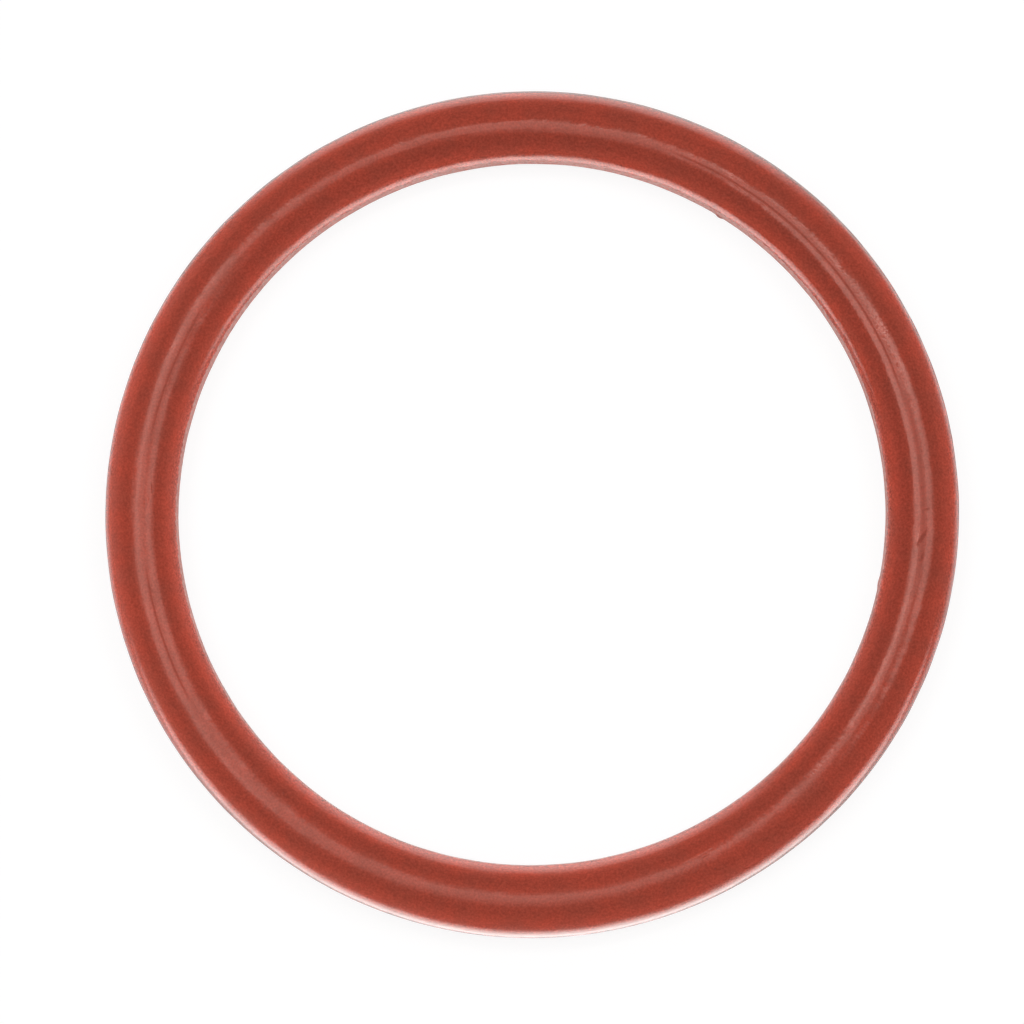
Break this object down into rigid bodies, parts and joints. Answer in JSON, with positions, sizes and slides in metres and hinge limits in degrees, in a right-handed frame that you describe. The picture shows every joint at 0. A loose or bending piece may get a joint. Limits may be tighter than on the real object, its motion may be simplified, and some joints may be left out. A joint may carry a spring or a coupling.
{
  "type": "silicone o-ring",
  "caption": "Closed silicone rubber ring of round section that seals between a shaft or plug and its bore when squeezed in a groove.",
  "frame": {"origin": "centre of the ring, at the middle of its height", "axes": "+Z along the axis of the hole, away from the surface that the ring lies on; +X and +Y lie in the ring's mid-plane"},
  "size_m": [0.0416, 0.0416, 0.0036],
  "materials": {
    "silicone": "satin"
  },
  "bodies": {
    "root": {"o_ring": "silicone"}
  },
  "joints": []
}
